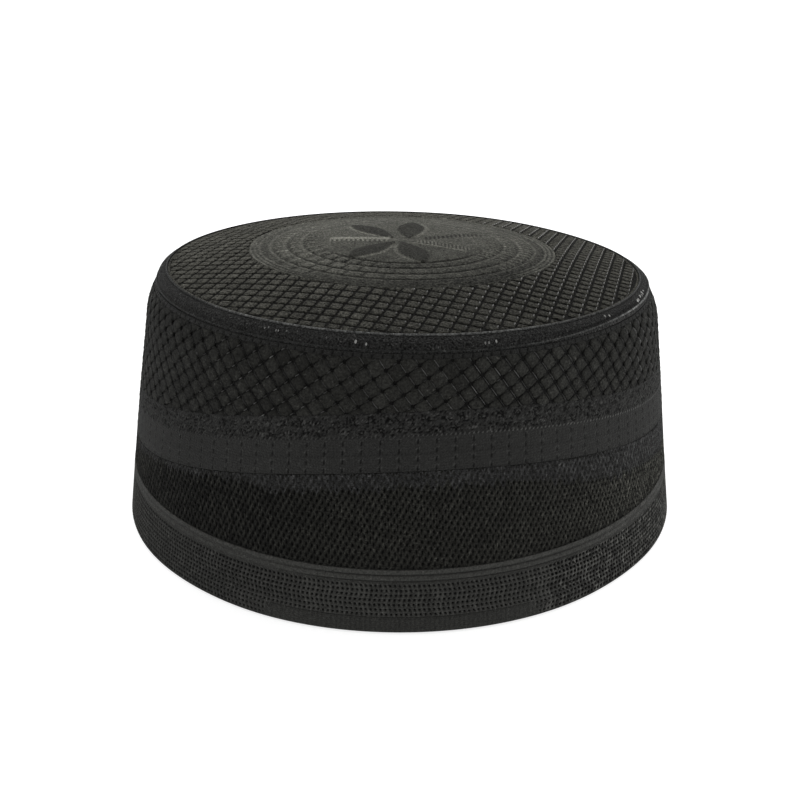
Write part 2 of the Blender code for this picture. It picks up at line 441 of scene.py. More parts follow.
def buildHem():
    material = knitMaterial("hemKnit", hem["look"])
    top, low, high, backing, pitShade = cap["hemHeight"], hem["low"], hem["high"], hem["backing"], hem["pitShadeTone"]
    rib = np.arange(hem["columns"] * 2) % 2    # fine upright ribs on the foot
    ribLift, ribTone = 0.06 * rib - 0.03, 0.86 + 0.26 * rib
    swing = swingOf(anglesOf(hem["columns"] * 2))
    plain = hump(-0.5, -0.15, 0.5, 0.8, swing)    # the two sewn lines show at the front alone
    rough = 0.07 + 0.4 * onRight(swing, 0.6, 0.85) + 0.2 * onLeft(swing, 0.2, 0.6)
    shaded = 1 - 0.2 * onLeft(swing, 0.2, 0.7)
    sunk = np.abs(swing) > hem["footOpen"] + 0.03

    def fold(tone):    # the smooth edge over the eyelets
        return flecked(tone * shaded, rough)

    rows = [(0.07, -0.5, 0.7), (0.12, -0.2, 0.85), (0.5, -0.03 + ribLift, ribTone)]
    for height, lift in ((1.2, 0.0), (1.9, 0.0), (2.6, 0.0), (3.3, 0.0), (4.0, -0.02)):
        ribs = flecked(ribTone, rough)
        rows.append((height, np.where(sunk, backing, lift + ribLift), np.where(sunk, pitShade, ribs)))
    rows += [(low, np.where(sunk, backing, -0.1), np.where(sunk, pitShade, 0.95)), (low + 0.1, backing, pitShade),
             (high - 0.1, backing, pitShade), (high, -0.1, 0.95), (high + 0.2, 0.0, 1.0)]
    for groove in hem["grooves"]:
        rows += [(groove - 0.4, 0.03, fold(1.4)), (groove - 0.14, -0.1 * plain, fold(1.0)),
                 (groove, -hem["grooveDepth"] * plain, fold(1.4 - plain)),
                 (groove + 0.14, -0.1 * plain, fold(1.1)), (groove + 0.4, 0.03, fold(1.5))]
        if groove == hem["grooves"][0]:
            rows += [((groove + hem["grooves"][1]) / 2, 0.06, fold(1.6))]
    rows += [(top - 0.8, 0.05, fold(1.8)), (top - 0.15, -0.05, fold(1.95))]
    rows += [(top, -0.5, 1.2), (top, -1.6, 0.8)]
    rows += [(height, hem["inside"], 0.8) for height in (top - 0.6, 10.0, 0.9)]
    rows += [(0.4, -2.0, 0.8), (0.2, -1.4, 0.7)]
    addPiece("hem_band_cloth", "hem_band", material, [wallRing(hem["columns"] * 2, rows)])

    pitch = (high - low) / hem["rows"]
    weave = Weave(lambda a, z: a * hem["columns"] / turn + 0.25 * np.sin(z * 0.9 + 3 * a),
                  lambda a, z: (z - low) / pitch - 0.5)
    centres = crossings(range(hem["columns"]), range(-hem["footRows"], hem["rows"]))
    heading = swingOf(centres[:, 0] * turn / hem["columns"])
    kept = (centres[:, 1] >= 0) | (np.abs(heading) > hem["footOpen"])
    centres, heading = centres[kept], heading[kept]
    sideOpening = ease(hem["footOpen"], hem["footOpen"] + 0.3, np.abs(heading))
    opening = np.maximum(ease(-0.5, 2.2, centres[:, 1]), sideOpening)
    byColumn = shuffle.uniform(0.85, 1.2, hem["columns"])
    parts = []
    for zone in eyeletZones:
        some = inZone(zone, heading)
        rim = {"border": (1, 0.7, 1, 0.9), "borderTone": (1.4, 1.15, 1.4, 1.5),
               "lip": 0.45, "lipTone": zone["lipTone"]}
        guess = np.stack([centres[some, 0] * turn / hem["columns"], low + (centres[some, 1] + 0.5) * pitch])
        uneven = 0.1 + 0.4 * onRight(heading[some], 0.35, 0.6)
        shades = flecked(byColumn[centres[some, 0].astype(int)], uneven)
        cell = holedCell(zone["hole"], rim)
        place, height, tone, faces = stamped(centres[some], cell, weave, guess, shades)
        faint = np.repeat(opening[some], holedPoints)    # in front the lowest rows are nearly closed
        lift = np.where(height < 0, backing + 0.05, (height - 1) * 0.25 * faint)
        tone = np.where(tone < 0.8, 1 - (1 - tone) * faint, tone)
        swing = swingOf(place[0])
        # painted light and shade: the borders are painted lighter and the flecks stronger on the lit right,
        # and the cloth is painted darker on the left and at the front right
        tone = np.where(tone > 1, tone * (1 + 0.35 * onRight(swing, 0.4, 0.7)), tone)
        tone = flecked(tone, 0.2 + 0.35 * onLeft(swing, 0.3, 0.7) + 0.7 * onRight(swing, 0.4, 0.6))
        shade = 1.07 - 0.32 * onLeft(swing, 0.2, 0.7) + 0.02 * onRight(swing, 0.7, 1.0)
        tone = tone * (shade - 0.13 * bump(swing - 0.7, 0.2))
        z = np.maximum(place[1], 0.1)    # nothing reaches under the foot
        parts.append(wallPart(place[0], z, lift, tone, faces))
    addPiece("hem_band_eyelets", "hem_band", material, parts)


# Mesh band
meshBand = {
    "slantTurns": 296, "slantRise": -0.285, "slantSway": -0.06, "crossTurns": 356, "crossRise": 0.325,
    "level": 30,    # height at which the net's lines are counted
    "hole": (0.23, 0.29), "depth": 0.3, "backing": -0.6, "inside": -1.8, "count": 504,
    "rim": {"border": (0.8, 0.5, 0.8, 1), "borderTone": (1.3, 0.85, 1.3, 1.35), "lip": 0.2, "lipTone": 0.65},
    "denseHeight": 4.6, "denseRight": 4.0, "denseLeft": -2.8,    # the net is close along its upper edge
    "look": look(colour=(0.0155, 0.0154, 0.0140), sideBlue=0.8, stitchWide=0.6, stitchTall=0.6,
                 contrast=0.3, grain=4.0, grainScale=2400.0),
    "denseLook": look(colour=(0.0172, 0.0172, 0.0171), stitchWide=0.6, stitchTall=0.6,
                      grain=3.0, grainScale=2400.0, sheen=0.04),
}


def denseReach(angle):
    right = meshBand["denseRight"] * onRight(angle, 0.35, 0.8)
    left = meshBand["denseLeft"] * onLeft(angle, 0.4, 0.65)
    return meshBand["denseHeight"] + (right + left)


def buildMeshBand():
    material = knitMaterial("netKnit", meshBand["look"])
    angle = anglesOf(meshBand["count"])
    low, high = cap["hemHeight"] + 0.15, archHeight(angle) - 0.15
    close = high - denseReach(angle)
    # the backing seen through the net's holes is painted dark: painted shade behind the net
    rows = [(low + (close - low) * share, meshBand["backing"], 0.25) for share in (0.0, 0.35, 0.7, 1.0)]
    rows += [(close + 0.8, -0.2, 0.9), (high, -0.2, 0.9)]
    rows += [(low + (high - low) * share, meshBand["inside"], 0.6) for share in (1.0, 0.75, 0.5, 0.25, 0.0)]
    backing = [wallRing(meshBand["count"], rows)]
    addPiece("mesh_band_backing", "mesh_band", material, backing)
    level = meshBand["level"]

    def slanted(a, z):
        rise = meshBand["slantRise"] + meshBand["slantSway"] * np.sin(a)
        return meshBand["slantTurns"] * a / turn + rise * (z - level)

    def crossing(a, z):
        return meshBand["crossTurns"] * a / turn + meshBand["crossRise"] * (z - level)

    weave = Weave(slanted, crossing)
    centres = crossings(range(-180, 181), range(-200, 201))
    # a straight first guess, then the exact place
    det = meshBand["slantTurns"] * meshBand["crossRise"] - meshBand["crossTurns"] * meshBand["slantRise"]
    a = (centres[:, 0] * meshBand["crossRise"] - centres[:, 1] * meshBand["slantRise"]) * turn / det
    z = level + (meshBand["slantTurns"] * centres[:, 1] - meshBand["crossTurns"] * centres[:, 0]) / det
    near = (np.abs(a) < math.pi + 0.2) & (z > 12) & (z < 60)
    centres, guess = centres[near], np.stack([a[near], z[near]])
    middle = weave.locate(centres[:, 0], centres[:, 1], guess)
    inside = inZone(wholeTurn, middle[0]) & (middle[1] > cap["hemHeight"] - 0.6)
    inside &= middle[1] < archHeight(middle[0]) + 0.6
    centres, middle = centres[inside], middle[:, inside]
    cell = holedCell(meshBand["hole"], meshBand["rim"])

    def netPart(some, close):
        shades = shuffle.uniform(0.8, 1.2, int(some.sum()))
        place, height, tone, faces = stamped(centres[some], cell, weave, middle[:, some], shades)
        z = np.clip(place[1], cap["hemHeight"] + 0.1, archHeight(place[0]) - 0.05)
        a, overHem = place[0], z - cap["hemHeight"]
        if close:    # nearly shut, uneven fine stitches
            lift = np.where(height < 0, -0.15, (height - 1) * 0.12)
            tone = flecked(0.35 + 0.65 * np.where(height < 0, 0.3, tone), 0.65 + 0.35 * onRight(a, 0.4, 0.8))
            # painted light on the cap's right and painted shade on its left
            tone = tone * (1.04 + 0.23 * onRight(a, 0.6, 1.0) - 0.12 * onLeft(a, 0.2, 0.5))
        else:
            shallow = np.repeat(shuffle.random(int(some.sum())), holedPoints)    # some holes are half closed
            holeLift = meshBand["backing"] + 0.05 + 0.45 * shallow ** 2
            lift = np.where(height < 0, holeLift, (height - 1) * meshBand["depth"])
            uneven = 0.25 + 0.75 * onRight(a, 0.5, 0.9) + 0.75 * onLeft(a, 0.3, 0.7)
            tone = flecked(np.where(height < 0, tone + 0.12, tone), uneven)
            # painted light and shade: on the left the borders are painted lighter and the rest darker, a
            # painted shadow of the hem lies along the net's foot, deepest on the right, and the cloth is
            # painted lighter on the right and darker on the left
            tone = tone * (1 + np.where(tone > 1, 0.4, -0.12) * onLeft(a, 0.2, 0.5))
            hemShadow = 0.4 * ease(1.5, 0, overHem) * onRight(a, 0.4, 0.6)
            tone = tone * (1 - 0.15 * ease(6, 0, overHem) - hemShadow)
            tone = tone * (1.08 + 0.25 * onRight(a, 0.2, 0.5) + 0.62 * onRight(a, 0.6, 0.95))
            tone = tone * (1 - 0.46 * onLeft(a, 0.1, 0.45) - 0.22 * bump(a + 0.8, 0.3))
        return wallPart(a, z, lift, tone, faces)

    reach = denseReach(middle[0]) + shuffle.uniform(-0.7, 0.7, len(centres))    # the two run into each other
    close = archHeight(middle[0]) - middle[1] < reach
    addPiece("mesh_band_net", "mesh_band", material, [netPart(~close, False)])
    edgeMaterial = knitMaterial("netEdgeKnit", meshBand["denseLook"])
    addPiece("mesh_band_edge", "mesh_band", edgeMaterial, [netPart(close, True)])


# Side band
side = {
    "squareColumns": 103, "squareHeight": 5.1, "openHeight": 6.6, "openRows": 15, "steps": 12,
    "dotDepth": 0.2, "backing": -0.5, "inside": -1.8, "latticeTop": 78.6, "topDots": 183, "puff": 0.04,
    "level": 68,    # height at which the lattice's lines are counted
    "stripLook": look(colour=(0.0180, 0.0180, 0.0177), sideBlue=0.87, grain=1.6, grainScale=2200.0,
                      fleck=4.0, sheen=0.05),
    "look": look(colour=(0.0176, 0.0176, 0.0168), sideBlue=0.76, sheen=0.01),
    "threadHighlightLook": look(colour=(0.072, 0.072, 0.070), contrast=0.2, roughness=0.6, grain=1.0),
}
# light threads on the lattice: which edge of the cell, half size, and how bright they stand round the cap;
# the brightness by heading is a painted highlight where they catch the light
latticeThreads = (
    {"edge": (0.0, 0.5), "half": (0.36, 0.035),
     "tone": lambda a: 0.2 + 0.55 * bump(a - 0.2, 0.35) + 0.55 * onRight(a, 0.85, 1.0)},
    {"edge": (0.5, 0.22), "half": (0.035, 0.18), "tone": lambda a: 0.25 + 0.6 * bump(a + 0.45, 0.2)},
)
# cells of the lattice: headings, half size and how dark the cloth is painted towards their edges, painted
# shade between the cells
latticeCells = (
    {"from": -4.0, "to": -0.35, "half": (0.488, 0.468), "edgeTone": 0.15, "shoulder": 0.86, "draw": 0.32},
    {"from": -0.35, "to": 0.2, "half": (0.494, 0.494), "edgeTone": 0.62, "shoulder": 0.88, "draw": 0.24},
    {"from": 0.2, "to": 4.0, "half": (0.487, 0.442), "edgeTone": 0.08, "shoulder": 0.83, "draw": 0.26},
)
# the lattice's two families of slanted lines, over the angle and the height
latticeRising = {"turns": 80, "start": 13.884, "sideSway": 4.663, "frontSway": -2.573, "twoSway": -0.445,
                 "rise": 0.1244, "riseFront": 0.0309, "riseSide": -0.0337}
latticeFalling = {"turns": 79, "start": -1.84, "sideSway": -1.459, "frontSway": 2.575, "twoSway": 0.197,
                  "rise": -0.2237, "riseFront": 0.0205, "riseSide": -0.031}


def latticeLines(family):
    def lines(a, z):
        rise = family["rise"] + family["riseFront"] * np.cos(a) + family["riseSide"] * np.sin(a)
        sway = family["sideSway"] * np.sin(a) + family["frontSway"] * np.cos(a)
        sway = sway + family["twoSway"] * np.sin(2 * a)
        return family["turns"] * a / turn + family["start"] + sway + rise * (z - side["level"])
    return lines


def latticeEnds(angle):    # the heights at which the lattice begins and ends
    low = archHeight(angle) + 2 * side["squareHeight"] + side["openHeight"]
    return low, leanedOf(angle, side["latticeTop"])


def squareRow(column, swing, r):    # two rows of plain squares, edged with needle holes and their flecks
    steps = side["steps"]
    fromLine = np.minimum(column % steps, steps - column % steps)
    hole = (fromLine == 0) & (r % 6 in (1, 2, 3))
    dot = (column % 2 == 0) & (r % steps == 0)
    speck = (fromLine == 1) & (r % 6 in (3, 4)) & (shuffle.random(len(column)) > 0.3)
    # the needle holes are painted dark: painted shade inside them
    lift = np.where(hole, -side["dotDepth"], np.where(speck, 0.06, 0.0))
    tone = np.where(hole, 0.15, np.where(dot, 0.55, np.where(speck, 1.8, 1.0)))
    if r == 2 * steps:    # a livelier dotted line where the openwork begins
        # painted light: the dots are painted brighter towards the lit right
        tone = np.where(column % 3 == 0, 1.9 + 2.3 * onRight(swing, -0.1, 0.45), 0.5)
    return lift, tone * shuffle.uniform(0.93, 1.07, len(column))


def openRow(column, r):    # openwork: small holes and knots in uneven groups
    share = column / side["steps"]
    wave = 0.5 * np.cos(share * turn)
    groups = bump(r - 4, 1.8) * (0.5 + wave) + bump(r - 10.5, 2.0) * (0.5 - wave)
    throw = shuffle.random(len(column))
    hole = throw < 0.08 + 0.42 * groups
    knot = throw > 0.95 - 0.28 * groups
    lift = np.where(hole, -0.35, np.where(knot, 0.12, 0.0))
    # the holes are painted dark: painted shade inside them
    return lift, np.where(hole, 0.12, np.where(knot, 2.2, 0.95)) * shuffle.uniform(0.5, 1.4, len(column))


def buildSideBand():
    strip = knitMaterial("stripKnit", side["stripLook"])
    material = knitMaterial("latticeKnit", side["look"])
    steps, columns = side["steps"], side["squareColumns"] * side["steps"]
    angle, column = anglesOf(columns), np.arange(columns) + 2
    swing = swingOf(angle)
    shaded = 1 - 0.29 * onLeft(swing, 0.45, 0.85)    # the left side is in shade
    ribbed = 1 + 0.3 * onRight(swing, 0.55, 0.95) * (2 * (column % 3 == 0) - 0.8)    # fine ribs on the right
    low = archHeight(angle)
    rows = [(low, -0.3, 1.0), (low + 0.08, -0.05, 1.0),
            (low + 0.3, np.where(column % 2, 0.0, -0.1), np.where(column % 2, 1.1, 0.6))]
    for r in range(1, 2 * steps + 1):
        lift, tone = squareRow(column, swing, r)
        rows.append((low + r * side["squareHeight"] / steps, lift, tone * shaded * ribbed))
    openStart = 2 * side["squareHeight"]
    for r in range(1, side["openRows"] + 1):
        lift, tone = openRow(column, r)
        rows.append((low + openStart + r * side["openHeight"] / side["openRows"], lift, tone * shaded ** 1.2))
    bottom, ceiling = latticeEnds(angle)
    last = leanedOf(angle, cap["pipingBase"]) - 0.15
    dot = column * side["topDots"] % columns < side["topDots"]
    # the needle holes are painted dark: painted shade inside them
    dotted = np.where(dot, -0.3, 0.0), np.where(dot, 0.15, 0.8)    # a row of needle holes over the lattice
    # the backing between the lattice's cells is painted dark: painted shade behind them
    rows.append((bottom + 0.15, side["backing"], 0.3))
    rows += [(bottom + (ceiling - bottom) * share, side["backing"], 0.3) for share in (0.35, 0.7, 0.99)]
    rows += [(ceiling, -0.06, 0.9), (ceiling + 0.2, *dotted), (ceiling + 0.6, *dotted), (last, -0.05, 0.9)]
    rows += [(low + (last - low) * share, side["inside"], 0.8) for share in (1.0, 0.75, 0.5, 0.25, 0.0)]
    addPiece("side_band_cloth", "side_band", strip, [wallRing(columns, rows)])

    weave = Weave(latticeLines(latticeFalling), latticeLines(latticeRising))
    centres = crossings(range(-60, 60), range(-60, 80))
    bothStarts, bothTurns = 12, latticeFalling["turns"] + latticeRising["turns"]    # enough for a first guess
    a = (centres[:, 0] + centres[:, 1] - bothStarts) * turn / bothTurns
    near = np.abs(a) < math.pi + 0.6
    centres, a = centres[near], a[near]
    middle = weave.locate(centres[:, 0], centres[:, 1], np.stack([a, 0 * a + side["level"]]))
    bottom, ceiling = latticeEnds(middle[0])
    inside = inZone(wholeTurn, middle[0]) & (middle[1] > bottom - 1.5) & (middle[1] < ceiling + 1.5)
    centres, middle = centres[inside], middle[:, inside]

    def placed(zone, template, lifts, toneOf, uneven):    # lifts: at the edge and in the middle
        some = inZone(zone, middle[0])
        shades = shuffle.uniform(1 - uneven, 1 + uneven, int(some.sum()))
        (a, z), height, tone, faces = stamped(centres[some], template, weave, middle[:, some], shades)
        bottom, ceiling = latticeEnds(a)
        z = np.clip(z, bottom + 0.05, ceiling - 0.05)
        sides = 0.35 * onLeft(a, 0.3, 0.6) + 0.3 * onRight(a, 0.5, 0.9)
        tone = flecked(tone * toneOf(a), sides) * (1 - 0.05 * sides)
        return wallPart(a, z, lifts[0] + (lifts[1] - lifts[0]) * height, tone, faces)

    def cellLightAndShade(a):
        # painted light and shade: darker at the front left, lighter at the front right
        return 1.01 - 0.18 * bump(a + 0.85, 0.6) + 0.23 * bump(a - 0.55, 0.3)

    cells = []
    for zone in latticeCells:
        cell = pillow(zone["half"], zone["draw"], zone["edgeTone"], 0.3, zone["shoulder"])
        cells.append(placed(zone, cell, (side["backing"], side["puff"]), cellLightAndShade, 0.18))
    addPiece("side_band_lattice", "side_band", material, cells)
    threadHighlight = knitMaterial("latticeThreadHighlight", side["threadHighlightLook"])
    bars = [placed(wholeTurn, bead(thread["edge"], thread["half"]), (-0.25, 0.13), thread["tone"], 0.6)
            for thread in latticeThreads]
    addPiece("side_band_highlit_threads", "side_band", threadHighlight, bars)


# Piping
piping = {
    "count": 720, "bulge": 0.95, "inside": -2.0, "crease": 0.25,
    "cordCount": 900, "cordSides": 6, "seamCord": 0.24, "baseCord": 0.22,
    "lineLow": 0.5, "lineHigh": 1.3, "stripTone": 1.35, "rightStripTone": 0.9,
    "knots": (
        {"angle": -0.47, "spread": 0.11, "count": 5, "share": 0.55, "size": 0.28, "tone": 0.45},
        {"angle": -0.135, "spread": 0.066, "count": 2, "share": 0.45, "size": 0.42, "tone": 0.7},
        {"angle": 0.31, "spread": 0.06, "count": 3, "share": 0.42, "size": 0.34, "tone": 0.6},
        {"angle": 0.86, "spread": 0.04, "count": 2, "share": 0.62, "size": 0.34, "tone": 0.7},
        {"angle": 1.19, "spread": 0.16, "count": 9, "share": 0.60, "size": 0.34, "tone": 0.9},
    ),
    "look": look(colour=(0.0135, 0.0135, 0.0131), stitchWide=0.7, stitchTall=0.6, fuzz=0.6, contrast=0.4,
                 patchy=0.5, grain=6.5, grainScale=1900.0, fleck=40.0, fleckStart=0.67),
    "cordLook": look(colour=(0.060, 0.061, 0.059), stitchWide=0.9, stitchTall=3.0, roughness=0.6, grain=3.5),
    "knotGlintLook": look(colour=(0.28, 0.28, 0.27), contrast=0.2, roughness=0.5, grain=1.0),
}


def buildPiping():
    material = knitMaterial("pipingKnit", piping["look"])
    angle = anglesOf(piping["count"])
    swing = swingOf(angle)
    low, high = leanedOf(angle, cap["pipingBase"]), leanedOf(angle, cap["seamUpright"])
    span = cap["seamUpright"] - cap["pipingBase"]

    def lineShare(a):    # the lower light line climbs the roll on the cap's right
        return (piping["lineLow"] + (piping["lineHigh"] - piping["lineLow"]) * onRight(a, 0.4, 1.0)) / span

    def rollLift(share):
        return piping["bulge"] * np.sin(math.pi * share) - 0.12

    # the roll folds a little at both sides
    creased = piping["crease"] * (onRight(swing, 0.45, 0.75) + 0.4 * onLeft(swing, 0.45, 0.75))
    rows = []
    for share in np.linspace(0, 1, 21):
        fold = creased * bump(share - lineShare(swing) - 0.16, 0.06)
        strip = 1 - ease(-0.04, 0.02, share - lineShare(swing))
        stripTone = piping["stripTone"] - 1 + piping["rightStripTone"] * onRight(swing, 0.5, 1.0)
        # painted shade in the fold; the strip below the lower line is lighter, and painted lighter still on
        # the lit right
        tone = flecked((1.0 - 2.4 * fold) * (1 + stripTone * strip), 0.15 + 0.8 * fold)
        rows.append((low + (high - low) * share, rollLift(share) - fold, tone))
    rows += [(high - 0.7, -0.9, 0.6), ((low + high) / 2, piping["inside"], 0.7), (low, piping["inside"], 0.7)]
    cloth = [wallRing(piping["count"], rows)]
    roll = addPiece("rim_piping_roll", "rim_piping", material, cloth)

    around = anglesOf(piping["cordCount"])
    swing = swingOf(around)

    def cord(share, lift, radius, tone):
        upright = cap["pipingBase"] + span * share
        rows = []
        for a in anglesOf(piping["cordSides"]):
            height = leanedOf(around, upright) + radius * math.sin(a)
            rows.append((height, lift + radius * math.cos(a), tone))
        return wallRing(len(around), rows)

    light = knitMaterial("seamCord", piping["cordLook"])
    # painted light: the cords' tone round the cap is painted lit and shaded, the seam's cord lightest at the
    # front and the lower cord on the right
    fading = 1 - 0.6 * ease(0.4, 0.7, swing) - 0.4 * ease(0.8, 1.6, swing)
    seamTone = 0.3 + 0.75 * ease(-0.95, -0.7, swing) * fading
    # at the back the seam's cord would catch too much light
    seamTone = seamTone * (1 - 0.6 * ease(1.5, 2.3, np.abs(swing)))
    baseTone = 0.3 + 0.35 * onRight(swing, 0.35, 0.65) + 1.2 * hump(0.8, 1.1, 1.3, 1.6, swing)
    share = lineShare(swing) - 0.02
    rough = 0.2 + 0.4 * ease(0.7, 1.0, swing)
    cords = [cord(1.0, 0.1, piping["seamCord"], flecked(seamTone, 0.25 + 0 * swing)),
             cord(share, rollLift(share) + 0.1, piping["baseCord"], flecked(baseTone, rough))]
    addPiece("rim_piping_cords", "rim_piping", light, cords)

    # small bright stitches that stand on the roll in groups; their brightness is partly painted glints, most
    # on the lit right
    knots = []
    for group in piping["knots"]:
        for k in range(group["count"]):
            aside = k / group["count"] - 0.5 + 0.1 * shuffle.uniform(-1, 1)
            middle = group["angle"] + group["spread"] * aside
            share = group["share"] + 0.08 * shuffle.uniform(-1, 1)
            size = group["size"] * shuffle.uniform(0.8, 1.2)
            over, along, height, tone, faces = bead((0, 0), (size, size))
            a = middle + over / cap["clothRadius"]
            z = leanedOf(a, cap["pipingBase"] + span * share) + along
            lift = rollLift(share) - 0.1 + 0.3 * height
            tone = tone * group["tone"] * shuffle.uniform(0.7, 1.2)
            knots.append((wallPoint(a, z, lift), faces, np.stack([over, along, tone], -1)))
    bright = knitMaterial("pipingKnotGlints", piping["knotGlintLook"])
    addPiece("rim_piping_knot_glints", "rim_piping", bright, knots)


# Top panel
top = {
    "netOut": 74.3, "backing": -0.28, "puff": 0.10, "thick": 1.6, "count": 504,
    # painted sheen: the cloth is painted lighter towards the back, where it catches the light at a grazing
    # angle
    "backSheen": 0.006,    # the cloth is a little lighter towards the back of the panel
    "netSpan": 75,    # the net's lines are counted in shares of this length
    "look": look(colour=(0.0480, 0.0470, 0.0400), stitchWide=0.95, stitchTall=0.85, contrast=0.3,
                 grain=4.5, specular=0.03, sheen=0.01),
    "threadHighlightLook": look(colour=(0.17, 0.17, 0.165), contrast=0.25, roughness=0.5, stitchWide=0.8, grain=1.5),
}
# cells of the net: headings, half size, tone
netCells = (
    {"from": -2.0, "to": -0.1, "half": (0.428, 0.412), "tone": 1.24},
    {"from": -0.1, "to": 0.55, "half": (0.440, 0.420), "tone": 0.98},
    {"from": 0.55, "to": 2.4, "half": (0.440, 0.350), "tone": 0.97},
    {"from": 2.4, "to": 4.0, "half": (0.435, 0.420), "tone": 1.1},
    {"from": -4.0, "to": -2.0, "half": (0.435, 0.420), "tone": 1.1},
)
# lines of the net over the top panel, in cells
netColumns = {"start": -15.847, "across": 18.788, "away": -5.822,
              "acrossTwice": 0.283, "both": 1.532, "awayTwice": -0.132}
netRows = {"start": 13.931, "across": 6.251, "away": 18.06,
           "acrossTwice": 0.296, "both": 0.294, "awayTwice": 0.704}
# bright beads on the net: headings from the front, length and width of each, tone; the tone by heading is a
# painted highlight where the threads catch the light
beadZones = (
    {"from": -0.55, "to": -0.15, "half": 0.12, "width": 0.050, "tone": 0.35},
    {"from": -0.15, "to": 0.3, "half": 0.15, "width": 0.062, "tone": 0.8},
    {"from": 0.3, "to": 0.75, "half": 0.22, "width": 0.062, "tone": 1.0},
    {"from": 0.75, "to": 2.6, "half": 0.36, "width": 0.055, "tone": 0.85},
)

medallion = {
    "centre": (-0.6, 4.0), "radius": 49.6, "base": -0.25, "count": 432,
    "innerShift": 0.16,    # the inner rings lie a little further forward
    "rings": (27.3, 32.1, 37.2, 42.0), "ringDepth": 0.35, "brickTurns": 41, "brickDepth": 0.35,
    "edgeRings": (46.2, 47.6, 49.0), "petalHeight": 0.35, "centreBar": ((-5.0, 4.7), (-2.0, 0.4)),
    "look": look(colour=(0.0500, 0.0497, 0.0428), stitchWide=0.9, stitchTall=0.8, contrast=0.35,
                 patchy=0.8, grain=3.4, specular=0.03, sheen=0.01),
}
petals = (    # foot of each, heading in degrees from the right, seen from above; light stands on one side
    {"foot": (1.0, 0.6), "heading": 86.0, "length": 26.0, "half": 4.7, "lightSide": -1},
    {"foot": (-3.4, 0.8), "heading": 124.5, "length": 25.5, "half": 4.3, "lightSide": 1},
    {"foot": (-3.0, -3.0), "heading": 233.0, "length": 23.8, "half": 4.2, "lightSide": 1},
    {"foot": (-1.4, -3.0), "heading": 287.0, "length": 24.0, "half": 4.8, "lightSide": -1},
)
# stitched bars lying across the rosette: a solid part and a row of teeth beside it; their light tone is
# painted sheen where the satin stitches catch the light
combs = (
    {"start": (-24.0, 0.2), "end": (-5.0, 0.2), "solid": (-0.9, 2.1), "teeth": (-3.3, -0.7),
     "pitch": 1.5, "light": 2.9, "dark": 0.5},
    {"start": (4.0, -1.6), "end": (20.5, -10.2), "solid": (-3.4, -2.4), "teeth": (-2.0, 2.0),
     "pitch": 1.15, "light": 2.2, "dark": 0.4},
    {"start": (6.0, 1.6), "end": (25.0, 12.0), "solid": (-3.0, -2.2), "teeth": (-2.0, 1.8),
     "pitch": 1.4, "light": 1.4, "dark": 0.2},
)


def netLines(family):
    def lines(x, y):
        u, v = x / top["netSpan"], y / top["netSpan"]
        straight = family["start"] + family["across"] * u + family["away"] * v
        return straight + family["acrossTwice"] * u * u + family["both"] * u * v + family["awayTwice"] * v * v
    return lines


def crownRing(rows, count):
    # each row is (radius, lift, tone, share of the way from the panel's middle to the medallion's)
    angle = anglesOf(count)
    points, cloth = [], []
    for radius, lift, tone, share in rows:
        x = radius * np.sin(angle) + share * medallion["centre"][0]
        y = -radius * np.cos(angle) + share * medallion["centre"][1]
        points.append(crownPoint(x, y, lift))
        cloth.append(np.stack([x, y, tone + 0 * x], -1))
    return np.concatenate(points), gridFaces(len(rows), count, True, True), np.concatenate(cloth)


def buildTopNet():
    material = knitMaterial("crownKnit", top["look"])
    edge, out, backing = seamRadius - 0.3, top["netOut"], top["backing"]
    profile = [(radius, -top["thick"], 0.8, 0) for radius in (0.05, 20, 40, 60, edge)]
    profile += [(edge, -0.3, 0.8, 0), (74.7, -0.06, 0.9, 0), (out, -0.05, 0.9, 0)]
    # under the net and the medallion the cloth is painted dark: painted shade in the grooves
    profile += [(radius, backing, 0.08, share)    # under the net
                for radius, share in ((out - 0.1, 0), (68, 0), (62, 0), (56, 0.5), (49.8, 1))]
    profile += [(radius, -1.0, 0.1, share)    # under the medallion
                for radius, share in ((49.2, 1), (40, 1), (30, 1), (15, 0.5), (0.05, 0))]
    addPiece("top_panel_cloth", "top_panel", material, [crownRing(profile, top["count"])])

    weave = Weave(netLines(netColumns), netLines(netRows))
    centres = crossings(range(-42, 12), range(-14, 44))
    middle = weave.locate(centres[:, 0], centres[:, 1], np.zeros((2, len(centres))))
    centreX, centreY = medallion["centre"]
    away = np.hypot(middle[0] - centreX, middle[1] - centreY)
    inside = (away > medallion["radius"] - 1.6) & (np.hypot(*middle) < out + 1.6)
    centres, middle = centres[inside], middle[:, inside]
    heading = np.arctan2(middle[0], -middle[1])
    # the dark groove between columns drifts a little towards the right of the cap
    centres[:, 0] -= 0.05 + 0.2 * ease(0.0, 0.78, heading)

    def placed(zone, template, lifts):    # lifts: at the edge and in the middle
        some = inZone(zone, heading)
        shades = shuffle.uniform(0.85, 1.15, int(some.sum()))
        (x, y), height, tone, faces = stamped(centres[some], template, weave, middle[:, some], shades)
        inward = np.minimum(1.0, (out - 0.1) / np.hypot(x, y))
        x, y = x * inward, y * inward
        away = np.hypot(x - centreX, y - centreY)
        outward = np.maximum(1.0, medallion["radius"] / away)
        x, y = centreX + (x - centreX) * outward, centreY + (y - centreY) * outward
        height = np.where((inward < 1) | (outward > 1), 0.0, height)
        lift = lifts[0] + (lifts[1] - lifts[0]) * height
        tone = tone * zone["tone"] * (1 + top["backSheen"] * y)
        return weld(crownPoint(x, y, lift), faces, np.stack([x, y, tone], -1))

    # the cells' edges are painted dark: painted shade in the grooves between them
    cells = [placed(zone, pillow(zone["half"], 0.1, 0.18, 0.12, 0.9), (backing, top["puff"]))
             for zone in netCells]
    addPiece("top_panel_net", "top_panel", material, cells)
    bright = knitMaterial("crownThreadHighlight", top["threadHighlightLook"])
    bars = [placed(zone, bead((0.33, 0.22), (zone["width"], zone["half"])), (-0.2, 0.3))
            for zone in beadZones]
    addPiece("top_panel_highlit_threads", "top_panel", bright, bars)


